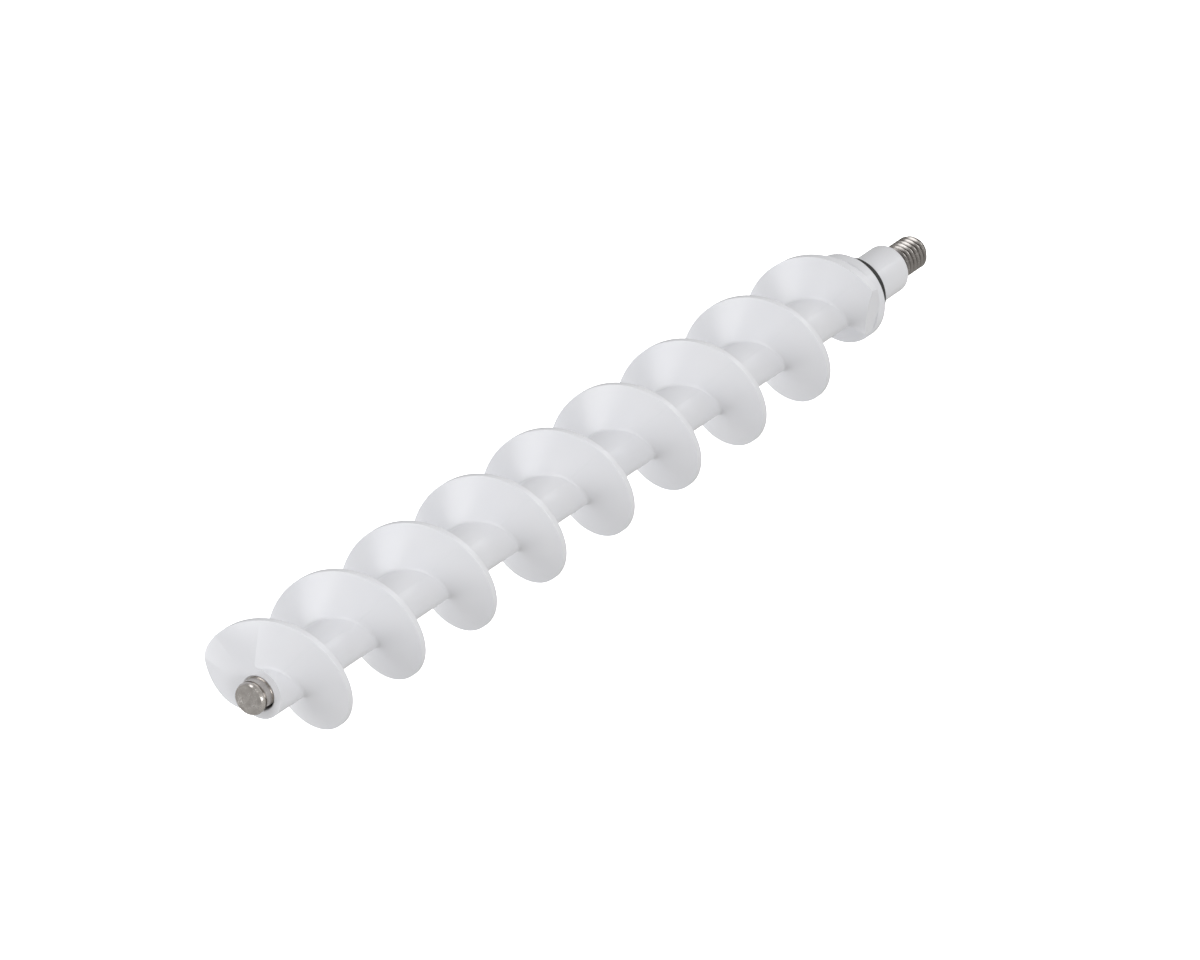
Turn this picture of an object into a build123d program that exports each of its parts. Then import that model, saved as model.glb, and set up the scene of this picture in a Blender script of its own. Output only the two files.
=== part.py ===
from build123d import *
from math import radians, tan
import os

os.makedirs("parts", exist_ok=True)

# Slush machine auger: a moulded plastic screw on a steel shaft, with a rubber seal ring on its hub.
# The axis is X. The origin is the centre of the hub's end face, and +X points along the threaded stud.
# Angles about the axis are counted from +Y towards +Z. All sizes are in millimetres and degrees.

# Plastic screw: core tube, flange and hub
core_diameter = 11.4
hub_diameter = 11.4
hub_length = 16.7
flange_diameter = 20.2
flange_thickness = 3.1
edge_rounding = 0.4

# Helical flight, which runs from the open end of the core to the flange
flight_diameter = 29.5
flight_length = 219.5
flight_pitch = 25.77
flight_end_angle = 211.0
rim_width = 1.5
front_flank_angle = 21.5
back_flank_angle = 28.5
root_rounding = 1.0
taper_length = 17.0
taper_depth = 0.9
run_out_offset = 9.6
run_out_angle = 194.5

# Steel shaft: a pin at the open end and a stud for a thread past the hub
shaft_diameter = 7.54
bore_clearance = 0.02
bore_chamfer = 0.6
pin_diameter = 7.14
pin_length = 3.4
pin_chamfer_depth = 0.25
pin_chamfer_length = 0.6
key_flat_depth = 0.4
key_flat_length = 10.0
key_flat_setback = 1.0
key_flat_angle = 227.5
stud_diameter = 7.94
stud_length = 11.5
stud_chamfer = 0.9

# Rubber seal ring in a groove of the hub, against the flange
seal_groove_depth = 0.3
seal_diameter = 15.8
seal_thickness = 4.0
seal_rounding = 0.6
seal_clearance = 0.02

# Stations along the axis
flange_back = -hub_length
flange_front = flange_back - flange_thickness
core_end = flange_front - flight_length
pin_end = core_end - pin_length
seal_groove_end = flange_back + seal_thickness + seal_clearance

# Radii
core_radius = core_diameter / 2
hub_radius = hub_diameter / 2
flange_radius = flange_diameter / 2
flight_radius = flight_diameter / 2
shaft_radius = shaft_diameter / 2
bore_radius = shaft_radius + bore_clearance
pin_radius = pin_diameter / 2
stud_radius = stud_diameter / 2
seal_groove_radius = hub_radius - seal_groove_depth
seal_bore_radius = seal_groove_radius + seal_clearance


def plane_along_axis(angle, distance):
    """A plane parallel to the axis, at a distance from it, that faces outwards at an angle."""
    outward = Vector(0, 1, 0).rotate(Axis.X, angle)
    return Plane(origin=outward * distance, x_dir=(1, 0, 0), z_dir=outward)


# Turned profiles are drawn on this plane, with x along the axis and the radius pointing down
turning_plane = Plane(origin=(0, 0, 0), x_dir=(1, 0, 0), z_dir=(0, 1, 0))


# Flight: a tapered section swept along a helix that starts straight up at x = 0
flight_height = flight_radius - core_radius
front_root = rim_width / 2 + flight_height * tan(radians(front_flank_angle))
back_root = rim_width / 2 + flight_height * tan(radians(back_flank_angle))
foot_depth = core_radius - bore_radius
sweep_length = flight_length + back_root + 2 * foot_depth
helix_start_angle = 90.0
helix_end_angle = helix_start_angle + 360 * sweep_length / flight_pitch

with BuildPart() as flight:
    with BuildLine() as flight_path:
        Helix(flight_pitch, sweep_length, flight_radius, direction=(1, 0, 0))
    with BuildSketch(Plane.XZ):
        with BuildLine():
            FilletPolyline(
                (-front_root - foot_depth, bore_radius),
                (-front_root, core_radius),
                (-rim_width / 2, flight_radius),
                (rim_width / 2, flight_radius),
                (back_root, core_radius),
                (back_root + foot_depth, bore_radius),
                radius=[0, root_rounding, 0, 0, root_rounding, 0],
                close=True,
            )
        make_face()
    sweep(path=flight_path.line, is_frenet=True)

# Screw: the flight trimmed at its far end, joined to the core, flange and hub, cut off square and bored
flight_place = Location(
    (flange_front - sweep_length, 0, 0), (flight_end_angle - helix_end_angle, 0, 0)
)
sweep_start = flange_front - sweep_length - front_root - foot_depth
taper_line_start = flange_front - 2 * taper_length

with BuildPart() as auger_screw:
    with Locations(flight_place):
        add(flight.part)
    with BuildSketch(turning_plane):
        with BuildLine():
            Polyline(
                (sweep_start, 0),
                (sweep_start, flight_diameter),
                (taper_line_start, flight_diameter),
                (taper_line_start, flight_radius + taper_depth),
                (flange_front, flight_radius - taper_depth),
                (flange_front, 0),
                close=True,
            )
        make_face()
    revolve(axis=Axis.X, mode=Mode.INTERSECT)
    with BuildSketch(plane_along_axis(run_out_angle, run_out_offset)):
        with Locations((flange_front, 0)):
            Rectangle(flight_pitch / 2, flight_diameter, align=(Align.MAX, Align.CENTER))
    extrude(amount=flight_radius, mode=Mode.SUBTRACT)
    with BuildSketch(turning_plane):
        with BuildLine():
            FilletPolyline(
                (sweep_start, 0),
                (sweep_start, core_radius),
                (flange_front, core_radius),
                (flange_front, flange_radius),
                (flange_back, flange_radius),
                (flange_back, seal_groove_radius),
                (seal_groove_end, seal_groove_radius),
                (seal_groove_end, hub_radius),
                (0, hub_radius),
                (0, 0),
                radius=[0, 0, 0, 0, edge_rounding, 0, 0, 0, edge_rounding, 0],
                close=True,
            )
        make_face()
    revolve(axis=Axis.X)
    split(bisect_by=Plane.YZ.offset(core_end), keep=Keep.TOP)
    with BuildSketch(turning_plane):
        with BuildLine():
            Polyline(
                (core_end, 0),
                (core_end, bore_radius + bore_chamfer),
                (core_end + bore_chamfer, bore_radius),
                (0, bore_radius),
                (0, 0),
                close=True,
            )
        make_face()
    revolve(axis=Axis.X, mode=Mode.SUBTRACT)
auger_screw.part.label = "auger_screw"
export_step(auger_screw.part, "parts/auger_screw.step")

# Shaft: a rod with a chamfered pin turned on one end, a flat milled along the pin, and a chamfered stud
with BuildPart() as drive_shaft:
    with BuildSketch(Plane.XZ):
        with BuildLine():
            Polyline(
                (pin_end, 0),
                (pin_end, pin_radius - pin_chamfer_depth),
                (pin_end + pin_chamfer_length, pin_radius),
                (core_end, pin_radius),
                (core_end, shaft_radius),
                (0, shaft_radius),
                (0, stud_radius),
                (stud_length - stud_chamfer, stud_radius),
                (stud_length, stud_radius - stud_chamfer),
                (stud_length, 0),
                close=True,
            )
        make_face()
    revolve(axis=Axis.X)
    with BuildSketch(plane_along_axis(key_flat_angle, pin_radius - key_flat_depth)):
        with Locations((pin_end + key_flat_setback, 0)):
            Rectangle(key_flat_length, shaft_diameter, align=(Align.MIN, Align.CENTER))
    extrude(amount=shaft_radius, mode=Mode.SUBTRACT)
drive_shaft.part.label = "drive_shaft"
export_step(drive_shaft.part, "parts/drive_shaft.step")

# Seal ring: a rubber ring with rounded outer edges
with BuildPart() as seal_ring:
    with BuildSketch(turning_plane) as seal_section:
        with Locations((flange_back, seal_bore_radius)):
            Rectangle(
                seal_thickness,
                seal_diameter / 2 - seal_bore_radius,
                align=(Align.MIN, Align.MIN),
            )
        fillet(seal_section.vertices().group_by(Axis.Y)[-1], seal_rounding)
    revolve(axis=Axis.X)
seal_ring.part.label = "seal_ring"
export_step(seal_ring.part, "parts/seal_ring.step")
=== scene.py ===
from math import cos, pi, radians, sin, tan

import bpy
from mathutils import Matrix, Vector


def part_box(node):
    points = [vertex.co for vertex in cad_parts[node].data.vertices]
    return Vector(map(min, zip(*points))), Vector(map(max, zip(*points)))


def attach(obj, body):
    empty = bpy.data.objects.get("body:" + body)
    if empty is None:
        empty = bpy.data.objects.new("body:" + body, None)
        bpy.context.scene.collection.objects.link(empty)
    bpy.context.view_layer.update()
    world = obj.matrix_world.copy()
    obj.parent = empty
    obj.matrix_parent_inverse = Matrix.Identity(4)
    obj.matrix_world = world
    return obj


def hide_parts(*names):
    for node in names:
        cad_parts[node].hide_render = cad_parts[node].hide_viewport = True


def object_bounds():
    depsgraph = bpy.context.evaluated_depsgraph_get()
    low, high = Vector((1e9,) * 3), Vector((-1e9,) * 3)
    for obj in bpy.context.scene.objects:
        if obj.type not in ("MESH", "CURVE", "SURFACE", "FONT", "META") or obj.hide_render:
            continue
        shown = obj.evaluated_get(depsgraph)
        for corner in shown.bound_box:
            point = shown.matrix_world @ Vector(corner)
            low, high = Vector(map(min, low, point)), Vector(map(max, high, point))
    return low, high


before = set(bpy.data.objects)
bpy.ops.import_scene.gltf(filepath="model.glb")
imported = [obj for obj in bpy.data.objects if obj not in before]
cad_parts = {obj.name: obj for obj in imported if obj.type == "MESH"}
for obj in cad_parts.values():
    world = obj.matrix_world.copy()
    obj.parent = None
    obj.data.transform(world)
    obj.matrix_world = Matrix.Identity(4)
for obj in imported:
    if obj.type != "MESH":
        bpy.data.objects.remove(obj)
cad_low, cad_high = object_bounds()

# Slush machine auger: a moulded plastic screw on a steel shaft, with a rubber seal ring on its hub.
# The axis is X, and +X points along the threaded stud. Angles about the axis are in degrees and
# counted from +Y towards +Z. Sizes are in metres.
mm = 0.001

# Screw: core tube, flange and hub
flight_radius = cad_high.z
core_end, screw_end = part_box("auger_screw")[0].x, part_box("auger_screw")[1].x
seal_low, seal_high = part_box("seal_ring")
core_radius = 5.7 * mm
hub_radius = 5.7 * mm
bore_radius = 3.79 * mm
bore_chamfer = 0.2 * mm
flange_radius = 10.1 * mm
flange_thickness = 3.1 * mm
flange_back = seal_low.x
flange_front = flange_back - flange_thickness
edge_rounding = 0.4 * mm
end_rounding = 0.7 * mm
end_setback = 0.4 * mm
seal_groove_radius = 5.4 * mm

# Helical flight: its section, its turns and how it runs out at the flange
flight_pitch = 25.77 * mm
flight_end_angle = 211
rim_width = 1.5 * mm
rim_rounding = 0.25 * mm
front_flank_angle = 21.5
back_flank_angle = 28.5
root_rounding = 1.0 * mm
foot_length = 4.0 * mm
foot_depth = 0.4 * mm
taper_length = 17.0 * mm
taper_depth = 0.9 * mm
run_out_offset = 9.6 * mm
run_out_angle = 194.5

# Line where the two halves of the mould met, in a plane through the axis
parting_angle = 130
parting_width = 0.12 * mm

# Steel shaft and its thread
shaft_low, shaft_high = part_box("drive_shaft")
shaft_radius = 3.77 * mm
pin_radius = 3.57 * mm
stud_radius = shaft_high.z
pin_end = shaft_low.x
stud_end = shaft_high.x
pin_chamfer_depth = 0.25 * mm
pin_chamfer_length = 0.6 * mm
key_flat_depth = 0.4 * mm
key_flat_length = 10.0 * mm
key_flat_setback = 1.0 * mm
key_flat_angle = 227.5
pin_groove_width = 0.5 * mm
pin_groove_depth = 0.35 * mm
stud_chamfer = 0.9 * mm
thread_pitch = 25.4 / 18 * mm
thread_depth = 0.78 * mm
thread_crest = 0.2 * mm
thread_root = 0.3 * mm

# Rubber ring
seal_rounding = 0.6 * mm
seal_clearance = 0.02 * mm
seal_radius = seal_high.z
seal_bore_radius = seal_groove_radius + seal_clearance

# Fineness of the meshes
flight_steps_per_turn = 96
thread_steps_per_turn = 48
turning_steps = 128
weld_distance = 0.001 * mm

# Light table under the part
table_size = 8
table_glow = 1.2

# Lamps, and a room that is brighter in front of the part than behind it
box_size = 0.5
near_end_size = 0.9
glint_size = 0.2
rim_size = 0.1
box_distance = 1.5
box_colour = (0.98, 0.985, 1.0)
room_colour = (1.0, 0.985, 0.955, 1)
room_front = 0.68
room_back = 0.36

# Camera at the photograph's angle
view_target = Vector((-118.43, -2.06, -2.25)) * mm
view_azimuth = -56.18
view_elevation = 27.02
view_distance = 1746.5 * mm
view_sensor_width = 36
view_lens = 246.17


def deselect_all():
    """Leaves no object selected, in object mode."""
    if bpy.context.object and bpy.context.object.mode != "OBJECT":
        bpy.ops.object.mode_set(mode="OBJECT")
    bpy.ops.object.select_all(action="DESELECT")


def select_only(piece):
    """Selects one piece and makes it the active one."""
    deselect_all()
    piece.select_set(True)
    bpy.context.view_layer.objects.active = piece


def round_corners(corners, segments=4):
    """Points of a closed outline. Each corner is (x, radius from the axis, rounding)."""
    points = []
    count = len(corners)
    for index, (x, r, rounding) in enumerate(corners):
        corner = Vector((x, r))
        if rounding == 0:
            points.append(corner)
            continue
        before = (Vector(corners[index - 1][:2]) - corner).normalized()
        after = (Vector(corners[(index + 1) % count][:2]) - corner).normalized()
        half_angle = before.angle(after) / 2
        centre = corner + (before + after).normalized() * (rounding / sin(half_angle))
        start = corner + before * (rounding / tan(half_angle)) - centre
        end = corner + after * (rounding / tan(half_angle)) - centre
        sweep = start.angle_signed(end)
        for step in range(segments + 1):
            turn = -sweep * step / segments
            points.append(
                centre
                + Vector((
                    start.x * cos(turn) - start.y * sin(turn),
                    start.x * sin(turn) + start.y * cos(turn),
                ))
            )
    return points


def draw_section(name, corners):
    """A closed outline above the axis, drawn vertex by vertex."""
    points = round_corners(corners)
    deselect_all()
    bpy.ops.mesh.primitive_plane_add(size=mm, location=(0, 0, 0))
    piece = bpy.context.object
    piece.name = name
    bpy.ops.object.mode_set(mode="EDIT")
    bpy.ops.mesh.select_all(action="SELECT")
    bpy.ops.mesh.merge(type="CENTER")
    bpy.ops.transform.translate(value=(points[0].x, 0, points[0].y))
    for here, there in zip(points, points[1:] + points[:1]):
        step = there - here
        bpy.ops.mesh.extrude_region_move(TRANSFORM_OT_translate={"value": (step.x, 0, step.y)})
    bpy.ops.mesh.select_all(action="SELECT")
    bpy.ops.mesh.remove_doubles(threshold=weld_distance)
    bpy.ops.object.mode_set(mode="OBJECT")
    return piece


def apply_modifiers(piece):
    """Applies a piece's modifiers in their order."""
    select_only(piece)
    for modifier in list(piece.modifiers):
        bpy.ops.object.modifier_apply(modifier=modifier.name)


def screw_section(piece, turns, length, steps):
    """Turns a section about the axis, moves it along the axis at the same time and closes its ends."""
    screw = piece.modifiers.new("Screw", "SCREW")
    screw.axis = "X"
    screw.angle = 2 * pi * turns
    screw.screw_offset = length
    screw.steps = steps
    screw.render_steps = steps
    screw.use_merge_vertices = length == 0
    screw.merge_threshold = weld_distance
    apply_modifiers(piece)
    bpy.ops.object.mode_set(mode="EDIT")
    bpy.ops.mesh.select_all(action="SELECT")
    bpy.ops.mesh.fill_holes(sides=0)
    bpy.ops.mesh.select_all(action="SELECT")
    bpy.ops.mesh.normals_make_consistent(inside=False)
    bpy.ops.object.mode_set(mode="OBJECT")


def turned(name, corners):
    """A turned piece from its section."""
    piece = draw_section(name, corners)
    screw_section(piece, turns=1, length=0, steps=turning_steps)
    return piece


def combine(piece, other, operation):
    """Joins another piece to this one, cuts it away or keeps what they share."""
    boolean = piece.modifiers.new("Combine", "BOOLEAN")
    boolean.operation = operation
    boolean.solver = "EXACT"
    boolean.object = other
    apply_modifiers(piece)
    bpy.data.objects.remove(other)


def block_beside_axis(angle, offset, low_x, high_x, size):
    """A block at an angle about the axis, with its inner face parallel to the axis and offset from it."""
    deselect_all()
    middle = offset + size / 2
    bpy.ops.mesh.primitive_cube_add(
        size=1,
        location=((low_x + high_x) / 2, middle * cos(radians(angle)), middle * sin(radians(angle))),
        rotation=(radians(angle), 0, 0),
        scale=(high_x - low_x, size, 2 * size),
    )
    bpy.ops.object.transform_apply(location=True, rotation=True, scale=True)
    return bpy.context.object


def finish_piece(piece, smooth_angle, body, node, material):
    """Shades a finished piece, gives it its material and sets it in the frame."""
    select_only(piece)
    bpy.ops.object.shade_smooth_by_angle(angle=radians(smooth_angle))
    piece.data.materials.clear()
    piece.data.materials.append(material)
    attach(piece, body)
    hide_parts(node)


class Signal:
    """A socket in a tree of nodes. Sums and products of signals add the nodes that work them out."""

    def __init__(self, tree, socket=None):
        self.tree = tree
        self.socket = socket

    def node(self, kind, settings=None, inputs=None, output=0):
        """Adds a node with its settings, fills or links its inputs and gives one of its outputs."""
        made = self.tree.nodes.new(kind)
        for name, value in (settings or {}).items():
            setattr(made, name, value)
        for name, value in (inputs or {}).items():
            self.feed(made.inputs[name], value)
        return Signal(self.tree, made.outputs[output])

    def feed(self, socket, value):
        """Links a signal to a socket, or sets the socket to a value."""
        if isinstance(value, Signal):
            self.tree.links.new(value.socket, socket)
        else:
            socket.default_value = value

    def maths(self, operation, first, second):
        """Works out one value from two."""
        return self.node("ShaderNodeMath", {"operation": operation}, {0: first, 1: second})

    def __add__(self, other):
        return self.maths("ADD", self, other)

    def __radd__(self, other):
        return self.maths("ADD", other, self)

    def __mul__(self, other):
        return self.maths("MULTIPLY", self, other)

    def __rmul__(self, other):
        return self.maths("MULTIPLY", other, self)


def new_material(name):
    """A material, a signal to start its nodes from, and its shader."""
    material = bpy.data.materials.new(name)
    material.use_nodes = True
    shader = material.node_tree.nodes["Principled BSDF"]
    return material, Signal(material.node_tree), shader


def mix_colours(start, factor, first, second):
    """One colour that goes over into another by a factor."""
    # The colour sockets share their names with other sockets of the node, so they go by number
    return start.node(
        "ShaderNodeMix",
        {"data_type": "RGBA"},
        {"Factor": factor, 6: first, 7: second},
        output=2,
    )


def noise(start, place, scale, detail=4.0, roughness=0.55):
    """Soft random patches."""
    return start.node(
        "ShaderNodeTexNoise",
        inputs={"Vector": place, "Scale": scale, "Detail": detail, "Roughness": roughness},
    )


def moulded_white():
    """White moulded plastic: soft gloss, flow clouds, fine scuffs and the line where the mould parted."""
    cloud_white = (0.645, 0.655, 0.69, 1)
    clear_white = (0.68, 0.685, 0.705, 1)
    across_parting = (0, sin(radians(parting_angle)), -cos(radians(parting_angle)))

    material, start, shader = new_material("moulded_white")
    place = start.node("ShaderNodeTexCoord", output="Object")
    clouds = noise(start, place, scale=70.0, detail=3.0)
    grain = noise(start, place, scale=2200.0, detail=2.0)
    scuffs = noise(start, place, scale=420.0, detail=6.0, roughness=0.7)
    offset = start.node(
        "ShaderNodeVectorMath",
        {"operation": "DOT_PRODUCT"},
        {0: place, 1: across_parting},
        output="Value",
    )
    distance = start.node("ShaderNodeMath", {"operation": "ABSOLUTE"}, {0: offset})
    parting_line = start.node(
        "ShaderNodeMapRange",
        {"interpolation_type": "SMOOTHSTEP"},
        {
            "Value": distance,
            "From Min": 0.0,
            "From Max": parting_width,
            "To Min": 1.0,
            "To Max": 0.0,
        },
    )
    start.feed(shader.inputs["Base Color"], mix_colours(start, clouds, cloud_white, clear_white))
    start.feed(shader.inputs["Roughness"], 0.24 + 0.12 * scuffs + 0.05 * grain)
    height = 0.03 * grain + 0.03 * scuffs + parting_line
    bump = start.node(
        "ShaderNodeBump",
        inputs={"Strength": 0.3, "Distance": 0.1 * mm, "Height": height},
    )
    start.feed(shader.inputs["Normal"], bump)
    start.feed(shader.inputs["IOR"], 1.5)
    return material


def turned_steel():
    """Stainless steel with rings from the lathe, dull patches and stains, and painted shade on the stud,
    darkest in the thread's grooves.
    """
    dull_steel = (0.6, 0.57, 0.545, 1)
    bright_steel = (0.95, 0.92, 0.89, 1)
    stain_brown = (0.16, 0.14, 0.125, 1)
    ring_grey = (0.26, 0.24, 0.225, 1)
    # Painted shade for the stud and its thread grooves
    groove_shade_black = (0.035, 0.03, 0.026, 1)

    material, start, shader = new_material("turned_steel")
    place = start.node("ShaderNodeTexCoord", output="Object")
    along = start.node("ShaderNodeSeparateXYZ", inputs={"Vector": place}, output="X")
    across = start.node("ShaderNodeVectorMath", {"operation": "MULTIPLY"}, {0: place, 1: (0, 1, 1)})
    radius = start.node("ShaderNodeVectorMath", {"operation": "LENGTH"}, {0: across}, output="Value")
    ring_place = start.node("ShaderNodeCombineXYZ", inputs={"X": along, "Y": radius})
    rings = noise(start, ring_place, scale=4200.0, detail=3.0, roughness=0.7)
    patches = noise(start, place, scale=650.0, detail=5.0)
    stains = noise(start, place, scale=260.0, detail=4.0, roughness=0.7)
    steel = mix_colours(start, patches, dull_steel, bright_steel)
    stained = mix_colours(start, 0.55 * stains, steel, stain_brown)
    ringed = mix_colours(start, 0.5 * rings, stained, ring_grey)
    on_stud = start.node("ShaderNodeMath", {"operation": "GREATER_THAN"}, {0: along, 1: screw_end})
    # Painted shade: on the stud the colour goes 40% towards near black, and up to 93% in the thread's
    # grooves between the crests
    thread_shade = start.node(
        "ShaderNodeMapRange",
        inputs={
            "Value": radius,
            "From Min": stud_radius - thread_depth,
            "From Max": stud_radius - 0.3 * thread_depth,
            "To Min": 0.93,
            "To Max": 0.4,
        },
    )
    start.feed(shader.inputs["Base Color"], mix_colours(start, on_stud * thread_shade, ringed, groove_shade_black))
    start.feed(shader.inputs["Metallic"], 1.0)
    start.feed(shader.inputs["Roughness"], 0.1 + 0.18 * patches + 0.12 * rings)
    bump = start.node(
        "ShaderNodeBump",
        inputs={"Strength": 0.5, "Distance": 0.04 * mm, "Height": rings + 0.6 * patches},
    )
    start.feed(shader.inputs["Normal"], bump)
    return material


def black_rubber():
    """Matt black rubber with a fine grain."""
    deep_black = (0.006, 0.006, 0.007, 1)
    worn_black = (0.018, 0.018, 0.019, 1)

    material, start, shader = new_material("black_rubber")
    place = start.node("ShaderNodeTexCoord", output="Object")
    grain = noise(start, place, scale=1500.0)
    start.feed(shader.inputs["Base Color"], mix_colours(start, grain, deep_black, worn_black))
    start.feed(shader.inputs["Roughness"], 0.5 + 0.15 * grain)
    return material


def light_table():
    """White glass that glows."""
    material, start, shader = new_material("light_table")
    start.feed(shader.inputs["Base Color"], (0.9, 0.9, 0.9, 1))
    start.feed(shader.inputs["Roughness"], 0.9)
    start.feed(shader.inputs["Emission Color"], (1, 1, 1, 1))
    start.feed(shader.inputs["Emission Strength"], table_glow)
    return material


# Flight: its section starts straight above the axis, beyond the core's end, and turns up to the flange
flight_height = flight_radius - core_radius
front_root = rim_width / 2 + flight_height * tan(radians(front_flank_angle))
back_root = rim_width / 2 + flight_height * tan(radians(back_flank_angle))
section_angle = 90
turns_needed = (flange_front - core_end + back_root + foot_length) / flight_pitch
part_turn = (flight_end_angle - section_angle) / 360
flight_turns = int(turns_needed - part_turn + 1) + part_turn
flight_length = flight_turns * flight_pitch
section_x = flange_front - flight_length

flight = draw_section("plastic_screw", [
    (section_x - front_root - foot_length, bore_radius, 0),
    (section_x - front_root - foot_length, core_radius - foot_depth, 0),
    (section_x - front_root, core_radius, root_rounding),
    (section_x - rim_width / 2, flight_radius, rim_rounding),
    (section_x + rim_width / 2, flight_radius, rim_rounding),
    (section_x + back_root, core_radius, root_rounding),
    (section_x + back_root + foot_length, core_radius - foot_depth, 0),
    (section_x + back_root + foot_length, bore_radius, 0),
])
screw_section(flight, flight_turns, flight_length, round(flight_turns * flight_steps_per_turn))

# Its far end: tapered towards the flange, sunk a little into the flange and cut flat where it runs out
spare = flight_radius
near_end = section_x - front_root - 2 * foot_length
far_end = flange_front + flange_thickness / 2
envelope = turned("envelope", [
    (near_end, bore_radius / 2, 0),
    (near_end, flight_radius + spare, 0),
    (flange_front - 2 * taper_length, flight_radius + spare, 0),
    (flange_front - 2 * taper_length, flight_radius + taper_depth, 0),
    (flange_front, flight_radius - taper_depth, 0),
    (flange_front, flange_radius - edge_rounding, 0),
    (far_end, flange_radius - edge_rounding, 0),
    (far_end, bore_radius / 2, 0),
])
combine(flight, envelope, "INTERSECT")
run_out = block_beside_axis(
    run_out_angle, run_out_offset, flange_front - flight_pitch / 2, flange_front + spare, spare
)
combine(flight, run_out, "DIFFERENCE")

# Core, flange and hub, joined to the flight
core = turned("core", [
    (near_end, 0, 0),
    (near_end, core_radius, 0),
    (flange_front, core_radius, 0),
    (flange_front, flange_radius, edge_rounding),
    (flange_back, flange_radius, edge_rounding),
    (flange_back, seal_groove_radius, 0),
    (seal_high.x, seal_groove_radius, 0),
    (seal_high.x, hub_radius, 0),
    (screw_end, hub_radius, edge_rounding),
    (screw_end, 0, 0),
])
combine(flight, core, "UNION")

# Near end and bore: cut off nearly square, with a rounded outer edge and a chamfered bore
waste = turned("waste", [
    (near_end - spare, 0, 0),
    (near_end - spare, flight_radius + spare, 0),
    (core_end + end_setback + 2 * end_rounding, flight_radius + spare, 0),
    (core_end + end_setback + 2 * end_rounding, flight_radius + rim_rounding, 0),
    (core_end + end_setback, flight_radius + rim_rounding, end_rounding),
    (core_end, core_radius, 0),
    (core_end, bore_radius + bore_chamfer, 0),
    (core_end + bore_chamfer, bore_radius, 0),
    (screw_end + spare, bore_radius, 0),
    (screw_end + spare, 0, 0),
])
combine(flight, waste, "DIFFERENCE")
finish_piece(
    flight,
    smooth_angle=35,
    body="root",
    node="auger_screw",
    material=moulded_white(),
)

# Shaft: a grooved pin, a rod, and a stud at the thread's root diameter past the hub
thread_root_radius = stud_radius - thread_depth
groove_end = pin_end + key_flat_setback + pin_groove_width
shaft = turned("steel_shaft", [
    (pin_end, 0, 0),
    (pin_end, pin_radius - pin_chamfer_depth, 0),
    (pin_end + pin_chamfer_length, pin_radius, 0),
    (pin_end + key_flat_setback, pin_radius, 0),
    (pin_end + key_flat_setback, pin_radius - pin_groove_depth, 0),
    (groove_end, pin_radius - pin_groove_depth, 0),
    (groove_end, pin_radius, 0),
    (core_end, pin_radius, 0),
    (core_end, shaft_radius, 0),
    (screw_end, shaft_radius, 0),
    (screw_end, thread_root_radius, 0),
    (stud_end, thread_root_radius, 0),
    (stud_end, 0, 0),
])
key_flat = block_beside_axis(
    key_flat_angle,
    pin_radius - key_flat_depth,
    pin_end + key_flat_setback,
    pin_end + key_flat_setback + key_flat_length,
    shaft_radius,
)
combine(shaft, key_flat, "DIFFERENCE")

# Thread: a helical ridge that starts inside the hub, cut to the stud's length and chamfered end
thread_turns = round((stud_end - screw_end) / thread_pitch) + 2
thread_half_base = (thread_pitch - thread_root) / 2
thread_foot_radius = thread_root_radius * 0.9
thread_x = screw_end - thread_pitch
thread = draw_section("thread", [
    (thread_x - thread_half_base, thread_foot_radius, 0),
    (thread_x - thread_half_base, thread_root_radius, 0),
    (thread_x - thread_crest / 2, stud_radius, 0),
    (thread_x + thread_crest / 2, stud_radius, 0),
    (thread_x + thread_half_base, thread_root_radius, 0),
    (thread_x + thread_half_base, thread_foot_radius, 0),
])
screw_section(thread, thread_turns, thread_turns * thread_pitch, thread_turns * thread_steps_per_turn)
stud = turned("stud", [
    (screw_end, thread_root_radius / 2, 0),
    (screw_end, stud_radius * 2, 0),
    (stud_end - stud_chamfer - stud_radius, stud_radius * 2, 0),
    (stud_end, stud_radius - stud_chamfer, 0),
    (stud_end, thread_root_radius / 2, 0),
])
combine(thread, stud, "INTERSECT")
combine(shaft, thread, "UNION")
finish_piece(
    shaft,
    smooth_angle=25,
    body="root",
    node="drive_shaft",
    material=turned_steel(),
)

# Seal ring
seal = turned("rubber_ring", [
    (seal_low.x, seal_bore_radius, 0),
    (seal_low.x, seal_radius, seal_rounding),
    (seal_high.x, seal_radius, seal_rounding),
    (seal_high.x, seal_bore_radius, 0),
])
finish_piece(
    seal,
    smooth_angle=35,
    body="root",
    node="seal_ring",
    material=black_rubber(),
)

# Floor: a white light table that doesn't light the part, and that the lamps below it shine through
deselect_all()
bpy.ops.mesh.primitive_plane_add(size=table_size, location=(0, 0, cad_low.z))
floor = bpy.context.object
floor.name = "floor"
floor.data.materials.append(light_table())
floor.visible_diffuse = False
floor.visible_glossy = False
floor.visible_shadow = False

# Soft boxes around the part
middle = (cad_low + cad_high) / 2


def direction(azimuth, elevation):
    """Points away from the part. Azimuth 0 is the side of -Y, and 90 is the side of +X."""
    return Vector((
        sin(radians(azimuth)) * cos(radians(elevation)),
        -cos(radians(azimuth)) * cos(radians(elevation)),
        sin(radians(elevation)),
    ))


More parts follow.
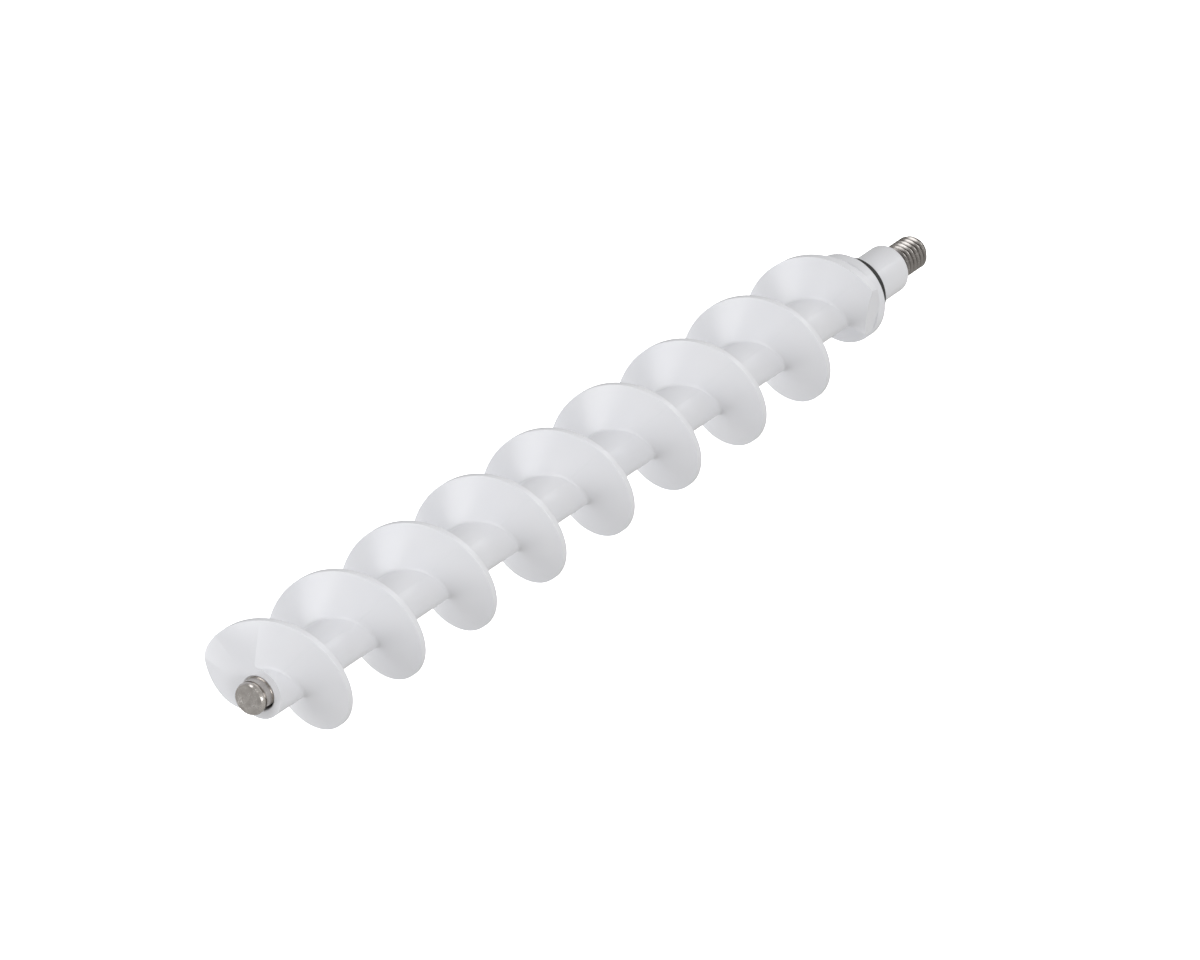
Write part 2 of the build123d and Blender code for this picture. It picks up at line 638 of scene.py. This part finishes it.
def soft_box(name, azimuth, elevation, power, size=box_size):
    """A square lamp that faces the middle of the part."""
    data = bpy.data.lights.new(name, "AREA")
    data.size = size
    data.energy = power
    data.color = box_colour
    lamp = bpy.data.objects.new(name, data)
    outward = direction(azimuth, elevation)
    lamp.location = middle + outward * box_distance
    lamp.rotation_euler = outward.to_track_quat("Z", "Y").to_euler()
    bpy.context.collection.objects.link(lamp)


soft_box("near_end_box", azimuth=255, elevation=32, power=8.4, size=near_end_size)
soft_box("front_box", azimuth=320, elevation=5, power=4.2)
soft_box("side_box", azimuth=0, elevation=5, power=3.6)
soft_box("stud_box", azimuth=60, elevation=32, power=2.6)
soft_box("back_box", azimuth=180, elevation=-22, power=11.5)
soft_box("low_box", azimuth=206, elevation=-30, power=8.0)
soft_box("top_box", azimuth=180, elevation=75, power=3.0)
soft_box("glint_box", azimuth=336, elevation=62, power=0.9, size=glint_size)
soft_box("rim_box", azimuth=328, elevation=33, power=0.5, size=rim_size)

# Room: its light falls off evenly from the side of -Y to the side of +Y
world = bpy.data.worlds.new("studio")
world.use_nodes = True
sky = world.node_tree.nodes["Background"]
room = Signal(world.node_tree)
outlook = room.node("ShaderNodeTexCoord", output="Generated")
rearward = room.node("ShaderNodeSeparateXYZ", inputs={"Vector": outlook}, output="Y")
glow = room.node(
    "ShaderNodeMapRange",
    inputs={
        "Value": rearward,
        "From Min": -1.0,
        "From Max": 1.0,
        "To Min": room_front,
        "To Max": room_back,
    },
)
room.feed(sky.inputs["Color"], room_colour)
room.feed(sky.inputs["Strength"], glow)
bpy.context.scene.world = world
bpy.context.scene.view_settings.view_transform = "Standard"

# Camera
back = direction(view_azimuth, view_elevation)
camera_data = bpy.data.cameras.new("camera")
camera_data.sensor_width = view_sensor_width
camera_data.lens = view_lens
camera = bpy.data.objects.new("camera", camera_data)
camera.location = view_target + back * view_distance
camera.rotation_euler = (-back).to_track_quat("-Z", "Y").to_euler()
bpy.context.collection.objects.link(camera)
bpy.context.scene.camera = camera
